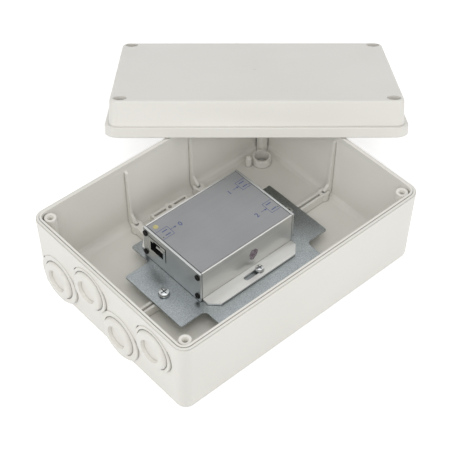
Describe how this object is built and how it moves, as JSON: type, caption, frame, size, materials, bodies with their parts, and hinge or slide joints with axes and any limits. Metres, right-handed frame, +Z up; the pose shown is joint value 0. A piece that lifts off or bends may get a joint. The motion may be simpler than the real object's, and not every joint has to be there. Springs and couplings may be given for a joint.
{
  "type": "network power extender in a junction box",
  "caption": "Open plastic junction box with a network power extender on its mounting plate, its lid leaning on the back corner",
  "frame": {"origin": "middle of the flat underside of the box's base", "axes": "+Z up out of the open box, X along its long side with the knock-outs in the -X wall, Y along its short side"},
  "size_m": [0.3072, 0.2618, 0.0754],
  "materials": {
    "enclosure_plastic": "fine satin moulded surface, light warm grey",
    "gasket_foam": "closed-cell foam, matte black",
    "galvanised_steel": "galvanised, satin with soft spangle",
    "bright_screw": "bright zinc plating",
    "extruded_aluminium": "satin, drawn lines along its length",
    "end_plate_sheet": "zinc-grey sheet, satin",
    "black_screw": "black oxide, semi-gloss",
    "socket_shield": "bright nickel plating",
    "black_plastic": "black moulded",
    "gold_contact": "gold plated",
    "label_film": "printed grey film",
    "board_laminate": "green solder mask",
    "ferrite": "dark ferrite",
    "capacitor_can": "bare can"
  },
  "bodies": {
    "root": {"enclosure_base": "enclosure_plastic", "enclosure_lid": "enclosure_plastic", "lid_screw_1": "enclosure_plastic", "lid_screw_2": "enclosure_plastic", "lid_screw_3": "enclosure_plastic", "lid_screw_4": "enclosure_plastic", "lid_gasket": "gasket_foam", "mounting_plate": "galvanised_steel", "plate_screw_left": "bright_screw", "plate_screw_right": "bright_screw", "flange_screw_front": "bright_screw", "flange_screw_rear": "bright_screw", "case_profile": "extruded_aluminium", "end_plate_input": "end_plate_sheet", "end_plate_output": "end_plate_sheet", "end_screw_input_1": "black_screw", "end_screw_input_2": "black_screw", "end_screw_input_3": "black_screw", "end_screw_input_4": "black_screw", "end_screw_output_1": "black_screw", "end_screw_output_2": "black_screw", "end_screw_output_3": "black_screw", "end_screw_output_4": "black_screw", "input_socket_shield": "socket_shield", "input_socket_body": "black_plastic", "input_socket_contacts": "gold_contact", "output_socket_1_shield": "socket_shield", "output_socket_1_body": "black_plastic", "output_socket_1_contacts": "gold_contact", "output_socket_2_shield": "socket_shield", "output_socket_2_body": "black_plastic", "output_socket_2_contacts": "gold_contact", "top_label": "label_film", "circuit_board": "board_laminate", "line_magnetics_1": "black_plastic", "line_magnetics_2": "black_plastic", "line_magnetics_3": "black_plastic", "controller_chip": "black_plastic", "regulator_chip_1": "black_plastic", "regulator_chip_2": "black_plastic", "power_inductor": "ferrite", "capacitor_1": "capacitor_can", "capacitor_2": "capacitor_can"}
  },
  "joints": []
}
